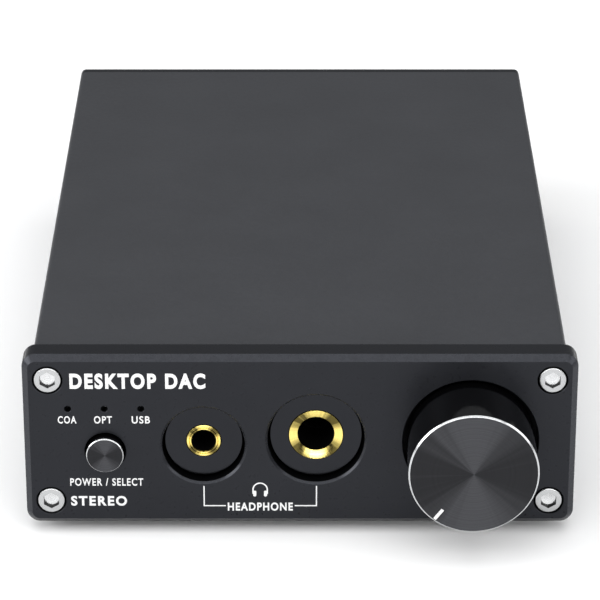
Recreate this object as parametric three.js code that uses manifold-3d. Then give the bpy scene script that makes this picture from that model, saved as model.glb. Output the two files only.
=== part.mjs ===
// A desktop digital-to-analogue converter with a headphone amplifier.
// Millimetres, +Z up. The front faces -Y, and the origin is at the middle of the footprint, on the table.
// An extruded aluminium sleeve is closed by a thick front plate and a thin rear plate, four screws each.
// The main board slides in grooves of the sleeve and carries the jacks, the volume control and the sockets.
import * as THREE from "three";
import { mergeVertices } from "three/addons/utils/BufferGeometryUtils.js";
import Module from "manifold-3d";

const wasm = await Module();
wasm.setup();

// ---- Driving dimensions ----
// Heights (z) of the housing's parts are from the front plate's centre, and depths (y) from its front face.

const PANEL = { width: 100, height: 34, thickness: 5.2, corner: 2.5, chamfer: 1.1 };
const BODY_LENGTH = 150; // front plate's face to rear plate's face
const OVERHANG = 1.6; // the front plate stands out this far round the sleeve
const SLEEVE = {
  width: PANEL.width - 2 * OVERHANG,
  height: PANEL.height - 2 * OVERHANG,
  wall: 1.6,
  corner: 1.2,
};
const REAR_THICKNESS = 2;
const TABLE_GAP = 2; // under the front plate

const SCREW = {
  x: 45.4, z: 12.2, shank: 1.5, length: 8,
  head: 2.45, headHeight: 3, socket: 2.5, socketDepth: 1.6, recess: 2.6,
};
const REAR_SCREW = { head: 2.6, headHeight: 1.7, socket: 2, socketDepth: 1.1 };
const BOSS = { radius: 2.8, hole: 1.25, clearance: 1.7 };
const FOOT = { x: 38, inset: 16, radius: 5, lip: 0.5 };

const BOARD = { width: 92.8, thickness: 1.6, top: -7, front: 7, back: 146 };
const GROOVE = { reach: 44.8, rib: 1, play: 0.15 };

const KNOB = {
  x: 30.9, z: -0.15, radius: 11.65, face: -12.8, back: 1, chamfer: 0.3,
  bore: 3.1, boreEnd: -9.5, hollow: 8.5, hollowEnd: -1.6,
  pocket: 12.3, pocketDepth: 3, screwY: -5.5,
};
const POINTER = { inner: 8.9, outer: 11.3, width: 0.6, depth: 0.35, play: 0.15, minAngle: -142.5 };
const POT = { width: 17, depth: 11.5, front: 5.5, bushing: 3.5, bushingBore: 3.12, shaft: 3, nutFlats: 10 };

// pocket is the radius of the hole's wall behind the rim's chamfer.
const JACKS = {
  jack_635: {
    x: 2.9, z: 0.3, pocket: 8.8, ferrule: 4.93, lip: 0.1, bore: 3.35, coneDepth: 0.6,
    width: 15.6, top: 8, back: 33, boreEnd: 30, plugBore: 3.3,
  },
  jack_35: {
    x: -17.5, z: -0.92, pocket: 7.5, ferrule: 3.15, lip: 0.4, bore: 2.15, coneDepth: 0.15,
    width: 11, top: 4.6, back: 19.5, boreEnd: 18, plugBore: 1.85,
  },
};
const JACK = {
  rim: 0.4, pocketDepth: 3.9, ferruleFace: 1.85, bezelFace: 2, bezelPlay: 0.15, bezelRound: 0.4,
};

const BUTTON = {
  x: -35.3, z: -2.1, radius: 3.4, hole: 3.7, face: -1.8, chamfer: 0.2,
  flange: 4.3, flangeHole: 4.6, flangeFront: 3.4, flangeBack: 4.6, end: 6.9,
};
const SWITCH = { size: 6, front: 8.4, plunger: 1.6, plungerHole: 1.9 };
const LED = { z: 6.45, pitch: 6.6, pinhole: 0.6, dome: 1.5, flange: 1.9, hole: 1.7 };
const INDICATOR_BOARD = { left: -44.4, right: -26.2, top: 9.1, front: 12, thickness: 1.2 };

const PHONO = { z: 0, shell: 4.15, bore: 3.2, stand: 9, contact: 1.6, hole: 4.4 };
const PHONO_X = { rca_right: 37, rca_left: 22, coaxial_in: 6.5 };
const OPTICAL = {
  x: -8.5, z: -0.6, width: 11.6, height: 12, depth: 14,
  port: { width: 8.8, height: 8.6, depth: 9.5 }, flap: 0.8, pivot: 0.55,
};
const USB = {
  x: -23, z: -1.1, width: 12, height: 11, depth: 16, portWidth: 8.6, portHeight: 8, portDepth: 9,
  cutCorner: 1.6, tongueWidth: 5.6, tongueHeight: 3.2,
};
const DC = {
  x: -37, z: -0.9, width: 9, height: 11.4, depth: 13, nose: 3.9, bore: 3.15, pin: 1, portDepth: 9.5,
};

const PLAY = 0.1; // between pieces that meet
const ROUND = { small: 16, medium: 24, ring: 32, large: 40 }; // sides of a round shape

const BACK = BODY_LENGTH; // the rear plate's outer face
const REAR_INSIDE = BODY_LENGTH - REAR_THICKNESS;
const ON_BOARD = BOARD.top + 0.05;
const DEG = Math.PI / 180;

// ---- Materials ----

const finish = (color, roughness, metalness = 0) =>
  new THREE.MeshStandardMaterial({ color, roughness, metalness });
const MATERIALS = {
  panel: finish(0x3a3b3f, 0.42, 0.6),
  sleeve: finish(0x48494d, 0.45, 0.6),
  knob: finish(0x4b4c50, 0.25, 0.8),
  steel: finish(0xc9cacc, 0.25, 1),
  gold: finish(0xd9a92c, 0.22, 1),
  blackPlastic: finish(0x17181a, 0.5),
  bezel: finish(0x36373a, 0.5, 0.3),
  rubber: finish(0x121212, 0.85),
  board: finish(0x0f4a2e, 0.5),
  chip: finish(0x1b1c1e, 0.6),
  whiteInk: finish(0xf2f2f2, 0.5),
  whitePlastic: finish(0xe8e8e4, 0.4),
  redPlastic: finish(0xb3221c, 0.4),
  orangePlastic: finish(0xd9731a, 0.4),
  clearLens: finish(0xdfe6ea, 0.15),
  can: finish(0x2b3c5c, 0.35),
};

// ---- Shape helpers: each returns a closed manifold solid ----

// A closed three.js geometry as a manifold solid.
function solidOf(geometry) {
  const bare = geometry.index ? geometry.toNonIndexed() : geometry.clone();
  bare.deleteAttribute("normal");
  bare.deleteAttribute("uv");
  const merged = mergeVertices(bare, 1e-4);
  return new wasm.Manifold(
    new wasm.Mesh({
      numProp: 3,
      vertProperties: merged.attributes.position.array,
      triVerts: new Uint32Array(merged.index.array),
    }),
  );
}

function geometryOf(solid) {
  const mesh = solid.getMesh();
  const geometry = new THREE.BufferGeometry();
  geometry.setAttribute("position", new THREE.BufferAttribute(new Float32Array(mesh.vertProperties), 3));
  geometry.setIndex(new THREE.BufferAttribute(new Uint32Array(mesh.triVerts), 1));
  geometry.computeVertexNormals();
  return geometry;
}

// A block between two corners.
function block([x0, y0, z0], [x1, y1, z1]) {
  const geometry = new THREE.BoxGeometry(x1 - x0, y1 - y0, z1 - z0);
  return solidOf(geometry.translate((x0 + x1) / 2, (y0 + y1) / 2, (z0 + z1) / 2));
}

// A block centred on x and standing between two heights, from y0 back to y1.
const upright = (x, width, z0, z1, y0, y1) => block([x - width / 2, y0, z0], [x + width / 2, y1, z1]);

// A cylinder along Y.
function rod(x, z, radius, y0, y1, sides = ROUND.medium) {
  const geometry = new THREE.CylinderGeometry(radius, radius, y1 - y0, sides);
  return solidOf(geometry.translate(x, (y0 + y1) / 2, z));
}

// A profile of [radius, y] points turned about the Y axis. It runs outside first, from low y to high y.
function turned(profile, sides = ROUND.medium) {
  const points = profile.map(([radius, y]) => new THREE.Vector2(radius, y));
  return solidOf(new THREE.LatheGeometry(points, sides));
}

// The same profile turned about the Z axis, with [radius, z] points.
function turnedUp(profile, sides = ROUND.medium) {
  const points = profile.map(([radius, z]) => new THREE.Vector2(radius, z));
  return solidOf(new THREE.LatheGeometry(points, sides).rotateX(Math.PI / 2));
}

// A prism of a regular hexagon along Y, given the distance across its flats.
function hexRod(flats, y0, y1) {
  const corner = flats / Math.sqrt(3);
  const geometry = new THREE.CylinderGeometry(corner, corner, y1 - y0, 6);
  return solidOf(geometry.translate(0, (y0 + y1) / 2, 0));
}

// An outline in X and Z, extruded from y0 back to y1.
function extruded(shape, y0, y1) {
  const geometry = new THREE.ExtrudeGeometry(shape, {
    depth: y1 - y0,
    bevelEnabled: false,
    curveSegments: 5,
  });
  return solidOf(geometry.rotateX(Math.PI / 2).translate(0, y1, 0));
}

function roundedOutline(width, height, radius) {
  const [w, h] = [width / 2, height / 2];
  return new THREE.Shape()
    .moveTo(w - radius, -h)
    .absarc(w - radius, radius - h, radius, -Math.PI / 2, 0)
    .absarc(w - radius, h - radius, radius, 0, Math.PI / 2)
    .absarc(radius - w, h - radius, radius, Math.PI / 2, Math.PI)
    .absarc(radius - w, radius - h, radius, Math.PI, 1.5 * Math.PI)
    .closePath();
}

// A rounded rectangle with its front edge cut back by a 45 degree chamfer.
function chamferedPlate(width, height, corner, chamfer, thickness) {
  const outline = roundedOutline(width - 2 * chamfer, height - 2 * chamfer, corner - chamfer);
  const geometry = new THREE.ExtrudeGeometry(outline, {
    depth: thickness,
    bevelThickness: chamfer,
    bevelSize: chamfer,
    bevelSegments: 1,
    curveSegments: 4,
  });
  const bothSides = solidOf(geometry.rotateX(Math.PI / 2).translate(0, thickness + chamfer, 0));
  const behind = block([-width, thickness, -height], [width, 2 * thickness + 2 * chamfer, height]);
  return bothSides.subtract(behind);
}

const cut = (solid, tools) => tools.reduce((left, tool) => left.subtract(tool), solid);
const join = (solids) => solids.reduce((whole, solid) => whole.add(solid));

// ---- Scene ----

// Its frame is the front plate's: x and z from the plate's centre, y from its face.
const housing = new THREE.Group();
housing.name = "housing";

function place(name, solid, material, x = 0, y = 0, z = 0) {
  const mesh = new THREE.Mesh(geometryOf(solid), MATERIALS[material]);
  mesh.name = name;
  mesh.position.set(x, y, z);
  housing.add(mesh);
  return mesh;
}

// Calls make(x, z) at each screw's place, clockwise from the top left of the front.
function atCorners(make) {
  const { x, z } = SCREW;
  return [[-x, z], [x, z], [x, -z], [-x, -z]].map(([cornerX, cornerZ], i) => make(cornerX, cornerZ, i));
}

// ---- Enclosure ----

function caseSleeve() {
  const [y0, y1] = [PANEL.thickness, REAR_INSIDE];
  const inner = { width: SLEEVE.width - 2 * SLEEVE.wall, height: SLEEVE.height - 2 * SLEEVE.wall };
  const tube = extruded(roundedOutline(SLEEVE.width, SLEEVE.height, SLEEVE.corner), y0, y1)
    .subtract(extruded(roundedOutline(inner.width, inner.height, 0.4), y0 - 1, y1 + 1));
  const bosses = atCorners((x, z) => rod(x, z, BOSS.radius, y0, y1, ROUND.small));
  const lowRib = BOARD.top - BOARD.thickness - GROOVE.play - GROOVE.rib;
  const highRib = BOARD.top + GROOVE.play;
  const wallMiddle = inner.width / 2 + SLEEVE.wall / 2;
  const ribs = [lowRib, highRib].flatMap((z) => [
    block([-wallMiddle, y0, z], [-GROOVE.reach, y1, z + GROOVE.rib]),
    block([GROOVE.reach, y0, z], [wallMiddle, y1, z + GROOVE.rib]),
  ]);
  const screwHoles = atCorners((x, z) => rod(x, z, BOSS.hole, y0 - 1, y1 + 1, ROUND.small));
  place("case_sleeve", cut(join([tube, ...bosses, ...ribs]), screwHoles), "sleeve");
}

// A round pocket in the front plate with a chamfered rim.
function pocket(x, z, radius, rim, depth) {
  const before = 1;
  return turned([
    [0, -before], [radius + rim + before, -before], [radius, rim], [radius, depth], [0, depth],
  ], ROUND.large).translate(x, 0, z);
}

function frontPanel() {
  const t = PANEL.thickness + 1;
  const plate = chamferedPlate(PANEL.width, PANEL.height, PANEL.corner, PANEL.chamfer, PANEL.thickness);
  const screwHoles = [
    ...atCorners((x, z) => rod(x, z, BOSS.clearance, -1, t, ROUND.small)),
    ...atCorners((x, z) => rod(x, z, SCREW.recess, -1, SCREW.headHeight + PLAY)),
  ];
  const jackHoles = Object.values(JACKS).flatMap((jack) => [
    pocket(jack.x, jack.z, jack.pocket, JACK.rim, JACK.pocketDepth),
    rod(jack.x, jack.z, jack.ferrule + PLAY, 0, t),
  ]);
  const ledHoles = [-1, 0, 1].flatMap((i) => [
    rod(BUTTON.x + i * LED.pitch, LED.z, LED.pinhole, -1, t, 12),
    rod(BUTTON.x + i * LED.pitch, LED.z, LED.hole, 2, t, ROUND.small),
  ]);
  const controls = [
    pocket(KNOB.x, KNOB.z, KNOB.pocket, 0.15, KNOB.pocketDepth),
    rod(KNOB.x, KNOB.z, POT.bushing + PLAY, 0, t),
    rod(BUTTON.x, BUTTON.z, BUTTON.hole, -1, t),
    rod(BUTTON.x, BUTTON.z, BUTTON.flangeHole, BUTTON.flangeFront - 0.2, t),
  ];
  place("front_panel", cut(plate, [...screwHoles, ...jackHoles, ...ledHoles, ...controls]), "panel");
}

function rearPanel() {
  const [y0, y1] = [REAR_INSIDE, BACK];
  const plate = extruded(roundedOutline(SLEEVE.width, SLEEVE.height, SLEEVE.corner), y0, y1);
  const [a, b] = [y0 - 1, y1 + 1];
  const openings = [
    ...atCorners((x, z) => rod(x, z, BOSS.clearance, a, b, ROUND.small)),
    ...Object.values(PHONO_X).map((x) => rod(x, PHONO.z, PHONO.hole, a, b)),
    ...[OPTICAL, USB].map(({ x, z, width, height }) =>
      upright(x, width + 2 * PLAY, ON_BOARD - PLAY, z + height / 2 + PLAY, a, b)),
    rod(DC.x, DC.z, DC.nose + PLAY, a, b),
  ];
  place("rear_panel", cut(plate, openings), "panel");
}

// A socket cap screw whose head starts at y = 0 and whose shank points to +y.
function capScrew(head, headHeight, socket, socketDepth, edge) {
  const end = headHeight + SCREW.length;
  const profile = [
    [0, 0], [head - edge, 0], [head, edge], [head, headHeight],
    [SCREW.shank - 0.3, headHeight], [SCREW.shank - 0.3, end], [0, end],
  ];
  return turned(profile, ROUND.small).subtract(hexRod(socket, -1, socketDepth));
}

function screws() {
  const front = capScrew(SCREW.head, SCREW.headHeight, SCREW.socket, SCREW.socketDepth, 0.25);
  const { head, headHeight, socket, socketDepth } = REAR_SCREW;
  const rear = capScrew(head, headHeight, socket, socketDepth, 0.5);
  atCorners((x, z, i) => {
    place(`front_screw_${i + 1}`, front, "steel", x, 0, z);
    place(`rear_screw_${i + 1}`, rear, "steel", -x, BACK + headHeight, z).rotation.z = Math.PI;
  });
}

// A rubber foot stuck under the sleeve, with its top at z = 0.
function feet() {
  const height = TABLE_GAP + OVERHANG;
  const foot = turnedUp([
    [0, -height], [FOOT.radius - 2 * FOOT.lip, -height], [FOOT.radius - FOOT.lip, -height + FOOT.lip],
    [FOOT.radius, 0], [0, 0],
  ]);
  const depths = [PANEL.thickness + FOOT.inset, BODY_LENGTH - FOOT.inset];
  const places = depths.flatMap((y) => [[-FOOT.x, y], [FOOT.x, y]]);
  places.forEach(([x, y], i) => place(`rubber_foot_${i + 1}`, foot, "rubber", x, y, -SLEEVE.height / 2));
}

// ---- Boards ----

function mainBoard() {
  const bottom = BOARD.top - BOARD.thickness;
  const board = upright(0, BOARD.width, bottom, BOARD.top, BOARD.front, BOARD.back);
  place("main_board", board, "board");
}

function indicatorBoard() {
  const { left, right, top, front, thickness } = INDICATOR_BOARD;
  place("indicator_board", block([left, front, ON_BOARD], [right, front + thickness, top]), "board");
  const [pitch, pins] = [2.54, 6];
  const behind = front + thickness + PLAY;
  const headerTop = ON_BOARD + pitch;
  const header = upright((left + right) / 2, pins * pitch, ON_BOARD, headerTop, behind, behind + pitch);
  place("board_link_header", header, "blackPlastic");
}

function leds() {
  const [tip, base, back] = [2.4, 7, INDICATOR_BOARD.front - PLAY];
  const dome = [30, 60, 90].map((angle) => [
    LED.dome * Math.sin(angle * DEG),
    tip + LED.dome * (1 - Math.cos(angle * DEG)),
  ]);
  const lens = turned([
    [0, tip], ...dome, [LED.dome, base], [LED.flange, base], [LED.flange, base + 1], [0, base + 1],
  ], ROUND.small);
  const leads = [-1.27, 1.27].map((x) => upright(x, 0.5, -0.25, 0.25, base + 0.5, back));
  const led = join([lens, ...leads]);
  ["led_coaxial", "led_optical", "led_usb"].forEach((name, i) =>
    place(name, led, "clearLens", BUTTON.x + (i - 1) * LED.pitch, 0, LED.z));
}

function selectButton() {
  const { radius, face, chamfer, flange, flangeFront, flangeBack, end } = BUTTON;
  const cap = turned([
    [0, face], [radius - chamfer, face], [radius, face + chamfer], [radius, flangeFront],
    [flange, flangeFront], [flange, flangeBack], [2, flangeBack], [2, end], [0, end],
  ]);
  place("select_button", cap, "knob", BUTTON.x, 0, BUTTON.z);

  const half = SWITCH.size / 2;
  const back = INDICATOR_BOARD.front - PLAY;
  const body = block([-half, SWITCH.front, -half], [half, back, half])
    .subtract(rod(0, 0, SWITCH.plungerHole, SWITCH.front - 1, SWITCH.front + 2.2, ROUND.small));
  place("switch_body", body, "blackPlastic", BUTTON.x, 0, BUTTON.z);
  const plunger = rod(0, 0, SWITCH.plunger, BUTTON.end + 0.05, SWITCH.front + 1.4, ROUND.small);
  place("switch_plunger", plunger, "whitePlastic", BUTTON.x, 0, BUTTON.z);
}

// ---- Volume control: the shaft and the knob turn about the Y axis ----

function volumeControl() {
  const { x, z } = KNOB;
  const back = POT.front + POT.depth;
  const body = block([-POT.width / 2, POT.front, ON_BOARD - z], [POT.width / 2, back, 8])
    .subtract(rod(0, 0, POT.bushing + PLAY, 0, POT.front + 3));
  place("volume_pot_body", body, "blackPlastic", x, 0, z);

  const nutBack = KNOB.pocketDepth - 0.6;
  const bushing = rod(0, 0, POT.bushing, 0, POT.front + 2.9)
    .subtract(rod(0, 0, POT.bushingBore, -1, POT.front + 4));
  place("volume_pot_bushing", bushing, "steel", x, 0, z);
  const ring = (solid) => solid.subtract(rod(0, 0, POT.bushing + PLAY, -2, 6));
  const washer = rod(0, 0, 5.6, nutBack + 0.05, KNOB.pocketDepth - 0.05);
  place("volume_pot_washer", ring(washer), "steel", x, 0, z);
  place("volume_pot_nut", ring(hexRod(POT.nutFlats, nutBack - 2, nutBack)), "steel", x, 0, z);
  place("volume_shaft", rod(0, 0, POT.shaft, KNOB.boreEnd + 0.3, POT.front + 2.8), "steel", x, 0, z);
}

// The knob at its lowest setting: its pointer stands at minAngle, clockwise from the top.
function volumeKnob() {
  const { radius, face, back, chamfer, bore, boreEnd, hollow, hollowEnd } = KNOB;
  const turnedKnob = turned([
    [0, face], [radius - chamfer, face], [radius, face + chamfer], [radius, back],
    [hollow, back], [hollow, hollowEnd], [bore, hollowEnd], [bore, boreEnd], [0, boreEnd],
  ], 48);

  const angle = POINTER.minAngle * DEG;
  const { width, depth, play } = POINTER;
  const length = POINTER.outer - POINTER.inner;
  const middle = (POINTER.outer + POINTER.inner) / 2;
  const slot = new THREE.BoxGeometry(width + 2 * play, 2 * depth, length + 2 * play);
  slot.translate(0, face, middle).rotateY(angle);
  const grubLength = radius - 2.2 - POT.shaft;
  const screwHole = new THREE.CylinderGeometry(1.6, 1.6, radius, ROUND.small);
  screwHole.rotateX(Math.PI / 2).translate(0, KNOB.screwY, radius / 2 + 1.6).rotateY(angle);
  const knob = cut(turnedKnob, [solidOf(slot), solidOf(screwHole)]);
  place("volume_knob", knob, "knob", KNOB.x, 0, KNOB.z);

  const bar = new THREE.BoxGeometry(width, depth - 0.1, length);
  bar.translate(0, face + depth / 2 - 0.05, middle).rotateY(angle);
  place("knob_pointer", solidOf(bar), "whiteInk", KNOB.x, 0, KNOB.z);

  const grub = new THREE.CylinderGeometry(1.45, 1.45, grubLength, ROUND.small);
  const key = new THREE.CylinderGeometry(0.85, 0.85, 3, 6).translate(0, grubLength / 2, 0);
  const grubCentre = POT.shaft + 0.1 + grubLength / 2;
  const along = (geometry) =>
    solidOf(geometry.rotateX(Math.PI / 2).translate(0, KNOB.screwY, grubCentre).rotateY(angle));
  place("knob_grub_screw", along(grub).subtract(along(key)), "steel", KNOB.x, 0, KNOB.z);
}

// ---- Headphone jacks ----

function headphoneJack(name) {
  const jack = JACKS[name];
  const { x, z, ferrule, lip, bore, coneDepth, plugBore } = jack;
  const face = JACK.ferruleFace;
  const housingFront = PANEL.thickness + PLAY;
  const ferruleEnd = housingFront + 6;

  const barrel = turned([
    [bore, face + coneDepth], [ferrule - lip, face], [ferrule, face + 0.15], [ferrule, housingFront - 0.05],
    [ferrule - 0.4, housingFront], [ferrule - 0.4, ferruleEnd], [bore, ferruleEnd], [bore, face + coneDepth],
  ], ROUND.ring);
  place(`${name}_ferrule`, barrel, "gold", x, 0, z);

  const bezelRadius = jack.pocket - JACK.bezelPlay;
  const round = [0, 0.5, 1].map((share) => [
    bezelRadius - JACK.bezelRound * (1 - Math.sin(share * 90 * DEG)),
    JACK.bezelFace + JACK.bezelRound * (1 - Math.cos(share * 90 * DEG)),
  ]);
  const inner = ferrule + PLAY;
  const back = JACK.pocketDepth - 0.05;
  const bezel = turned([
    [inner, JACK.bezelFace], ...round, [bezelRadius, back], [inner, back], [inner, JACK.bezelFace],
  ], ROUND.ring);
  place(`${name}_bezel`, bezel, "bezel", x, 0, z);

  const half = jack.width / 2;
  const springSlot = { width: 2, top: plugBore + 1.6 };
  const [slotFront, slotBack] = [ferruleEnd + 1, jack.boreEnd - 1.5];
  const body = cut(block([-half, housingFront, ON_BOARD - z], [half, jack.back, jack.top - z]), [
    rod(0, 0, ferrule - 0.3, 0, ferruleEnd + 0.1),
    rod(0, 0, plugBore, 0, jack.boreEnd),
    block([-springSlot.width / 2, slotFront, 0], [springSlot.width / 2, slotBack, springSlot.top]),
  ]);
  place(`${name}_housing`, body, "blackPlastic", x, 0, z);

  // The tip spring: a strip along the slot's roof whose bow dips to the plug's surface.
  const [start, end] = [slotFront + PLAY, slotBack - PLAY];
  const roof = springSlot.top - PLAY;
  const under = roof - 0.25;
  const dip = plugBore + 0.15;
  const strip = new THREE.Shape([
    [start, under], [start, roof], [end, roof], [end, under],
    [end - 1.1, under], [end - 1.8, dip], [end - 2.2, dip], [end - 2.9, under],
  ].map(([y, height]) => new THREE.Vector2(y, height)));
  const spring = new THREE.ExtrudeGeometry(strip, { depth: springSlot.width - 0.6, bevelEnabled: false });
  spring.translate(0, 0, (0.6 - springSlot.width) / 2).rotateX(Math.PI / 2).rotateZ(Math.PI / 2);
  place(`${name}_tip_spring`, solidOf(spring), "steel", x, 0, z);
}

// ---- Rear sockets ----

function phonoSocket(name, insulator) {
  const x = PHONO_X[name];
  const [root, end] = [REAR_INSIDE - 1.5, BACK + PHONO.stand];
  const { shell, bore, contact } = PHONO;
  const barrel = turned([
    [bore, root], [shell, root], [shell, end - 0.5], [shell - 0.5, end], [bore, end], [bore, root],
  ]);
  place(`${name}_shell`, barrel, "gold", x, 0, PHONO.z);
  const core = turned([
    [0, root], [bore - PLAY, root], [bore - PLAY, end - 1],
    [contact, end - 1], [contact, root + 1.5], [0, root + 1.5],
  ]);
  place(`${name}_insulator`, core, insulator, x, 0, PHONO.z);
}

function phonoHousing(name, left, right) {
  const [front, back] = [136, REAR_INSIDE - 1.6];
  place(name, block([left, front, ON_BOARD], [right, back, 6]), "blackPlastic");
}

// The optical socket: a box with a square port, whose flap swings inwards about its top edge.
function opticalSocket() {
  const { x, z, width, height, depth, port, flap, pivot } = OPTICAL;
  const [front, back] = [BACK + 0.3 - depth, BACK + 0.3];
  const portTop = port.height / 2;
  const pivotZ = portTop - pivot - 0.1;
  const pivotY = back - 1;
  const axle = (radius, length) => {
    const across = new THREE.CylinderGeometry(radius, radius, length, 12).rotateZ(Math.PI / 2);
    return solidOf(across.translate(0, pivotY, pivotZ));
  };
  const body = cut(block([-width / 2, front, ON_BOARD - z], [width / 2, back, height / 2]), [
    upright(0, port.width, -portTop, portTop, back - port.depth, back + 1),
    rod(0, -0.4, 1.2, back - port.depth - 1.5, back, ROUND.small),
    axle(pivot + 0.15, width - 1.4),
  ]);
  place("optical_in_housing", body, "blackPlastic", x, 0, z);
  const door = upright(0, port.width - 0.4, 0.2 - portTop, pivotZ, pivotY - flap / 2, pivotY + flap / 2);
  place("optical_shutter", door.add(axle(pivot, width - 1.8)), "blackPlastic", x, 0, z);
}

// The square USB socket: a metal box with a port whose top corners are cut, and a tongue inside.
function usbSocket() {
  const { x, z, width, height, depth, portWidth, portHeight, portDepth, cutCorner } = USB;
  const back = BACK + 0.4;
  const [w, h] = [portWidth / 2, portHeight / 2];
  const port = new THREE.Shape(
    [[-w, -h], [w, -h], [w, h - cutCorner], [w - cutCorner, h], [cutCorner - w, h], [-w, h - cutCorner]]
      .map((point) => new THREE.Vector2(...point)),
  );
  const shell = block([-width / 2, back - depth, ON_BOARD - z], [width / 2, back, height / 2])
    .subtract(extruded(port, back - portDepth, back + 1));
  place("usb_shell", shell, "steel", x, 0, z);
  const [tongueWidth, tongueTop] = [USB.tongueWidth, USB.tongueHeight / 2];
  const tongue = upright(0, tongueWidth, -tongueTop, tongueTop, back - portDepth + 0.05, back - 0.9);
  place("usb_tongue", tongue, "whitePlastic", x, 0, z);
}

function powerSocket() {
  const { x, z, width, height, depth, nose, bore, pin, portDepth } = DC;
  const back = BACK + 0.2;
  const top = height / 2;
  const body = join([
    block([-width / 2, back - depth, ON_BOARD - z], [width / 2, REAR_INSIDE - PLAY, top]),
    rod(0, 0, nose, REAR_INSIDE - 1, back),
  ]).subtract(rod(0, 0, bore, back - portDepth, back + 1));
  place("dc_jack_housing", body, "blackPlastic", x, 0, z);
  const [start, end] = [back - portDepth + 0.05, back - 0.8];
  const contact = turned([[0, start], [pin, start], [pin, end - 0.4], [pin - 0.4, end], [0, end]], 12);
  place("dc_jack_pin", contact, "steel", x, 0, z);
}

// ---- Parts on the main board ----

function boardParts() {
  const chip = (name, x, y, width, length, height) => {
    const slab = block([-width / 2, -length / 2, 0], [width / 2, length / 2, height]);
    place(name, slab, "chip", x, y, ON_BOARD);
  };
  chip("dac_chip", 4, 84, 10, 7.5, 1.8);
  chip("usb_receiver_chip", -22, 112, 10, 10, 1.4);
  chip("headphone_amp_chip", 6, 50, 8, 10, 1.7);

  // A power regulator on a finned heat sink.
  const fins = [-6, -2, 2, 6].map((x) => upright(x, 1, 0, 14, 1.5, 9));
  const sink = join([upright(0, 15, 0, 14, 0, 1.6), ...fins, upright(0, 10, 0.4, 9.6, -3, 0.4)]);
  place("voltage_regulator", sink, "chip", -34, 96, ON_BOARD);

  const can = turnedUp([
    [0, 0], [4.8, 0], [5, 0.4], [5, 1.6], [4.7, 2], [5, 2.4], [5, 15.5], [4.6, 16], [0, 16],
  ]);
  place("capacitor_1", can, "can", -34, 76, ON_BOARD);
  place("capacitor_2", can, "can", 24, 64, ON_BOARD);
}

// ---- Assembly ----

caseSleeve();
frontPanel();
rearPanel();
screws();
feet();
mainBoard();
indicatorBoard();
leds();
selectButton();
volumeControl();
volumeKnob();
Object.keys(JACKS).forEach(headphoneJack);
phonoHousing("rca_out_housing", 14.5, 44.3);
phonoHousing("coaxial_in_housing", 0.5, 12.5);
phonoSocket("rca_left", "whitePlastic");
phonoSocket("rca_right", "redPlastic");
phonoSocket("coaxial_in", "orangePlastic");
opticalSocket();
usbSocket();
powerSocket();
boardParts();

// The footprint's middle lies halfway from the knob's face to the ends of the phono sockets.
const middle = (KNOB.face + BACK + PHONO.stand) / 2;
housing.position.set(0, -middle, TABLE_GAP + PANEL.height / 2);

const part = new THREE.Group();
part.add(housing);

export default part;
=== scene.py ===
"""A desktop DAC with a headphone amplifier: the visual model over its CAD frame.

Shapes are given in millimetres and turned into metres where meshes are made. Places come from the frame.
A point (x, y, z) on the front is measured from the middle of the front plate's face, with y into the case.
"""

import math

import bmesh
import bpy
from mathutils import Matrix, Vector


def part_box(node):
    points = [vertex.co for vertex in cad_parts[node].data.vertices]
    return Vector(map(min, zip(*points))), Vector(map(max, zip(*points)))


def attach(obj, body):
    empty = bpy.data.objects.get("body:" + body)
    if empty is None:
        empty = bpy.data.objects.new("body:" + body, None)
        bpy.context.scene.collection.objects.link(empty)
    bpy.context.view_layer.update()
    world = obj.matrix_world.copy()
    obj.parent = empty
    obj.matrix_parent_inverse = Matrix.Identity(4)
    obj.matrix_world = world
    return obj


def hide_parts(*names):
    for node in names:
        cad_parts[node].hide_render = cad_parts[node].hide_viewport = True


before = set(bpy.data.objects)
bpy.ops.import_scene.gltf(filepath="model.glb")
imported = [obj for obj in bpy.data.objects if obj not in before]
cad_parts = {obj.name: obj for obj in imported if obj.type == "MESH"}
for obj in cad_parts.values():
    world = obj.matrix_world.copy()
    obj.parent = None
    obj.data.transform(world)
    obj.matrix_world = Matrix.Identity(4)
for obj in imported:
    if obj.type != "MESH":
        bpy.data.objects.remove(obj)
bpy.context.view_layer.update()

MM = 0.001
CHASSIS, KNOB_BODY = "chassis", "volume_knob_assembly"
BUTTON_BODY, FLAP_BODY = "select_button_assembly", "optical_port_flap"

# Rounded shapes: how many sides a full turn gets, and how many steps a small rounded edge gets.
TURN_SIDES = 96
EDGE_STEPS = 4
SHARP_ANGLE = math.radians(32)
FLAT_FACE_WEIGHT = 80  # how much the wide faces count in the shading of a rounded edge

# Front plate, in mm. A hole keeps its radius down to its depth, and has the radius of its bore from there on.
PANEL_CHAMFER = 1.1
PANEL_CORNER = 2.5
SCREW_CLEARANCE = 1.7
SCREW_RECESS = {"radius": 2.74, "depth": 3.1, "bore": SCREW_CLEARANCE}
JACK_POCKET_DEPTH = 3.9
JACK_POCKETS = {"jack_635": 8.8, "jack_35": 7.5}  # radius behind the rim's chamfer
KNOB_POCKET = {"radius": 12.3, "depth": 3.0, "bore": 3.6}
BUTTON_HOLE = {"radius": 3.7, "depth": 3.2, "bore": 4.6}
LED_HOLE = {"radius": 0.6, "depth": 2.0, "bore": 1.7}
LEDS = ("led_coaxial", "led_optical", "led_usb")

# Sleeve, in mm.
SLEEVE_CORNER = 1.2
SLEEVE_WALL = 1.6
BOSS_RADIUS = 2.8
BOSS_HOLE = 1.25
GROOVE_RIB = {"inner_end": 44.8, "thickness": 1.0, "play": 0.15}  # ribs that hold the board's long edges

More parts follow.
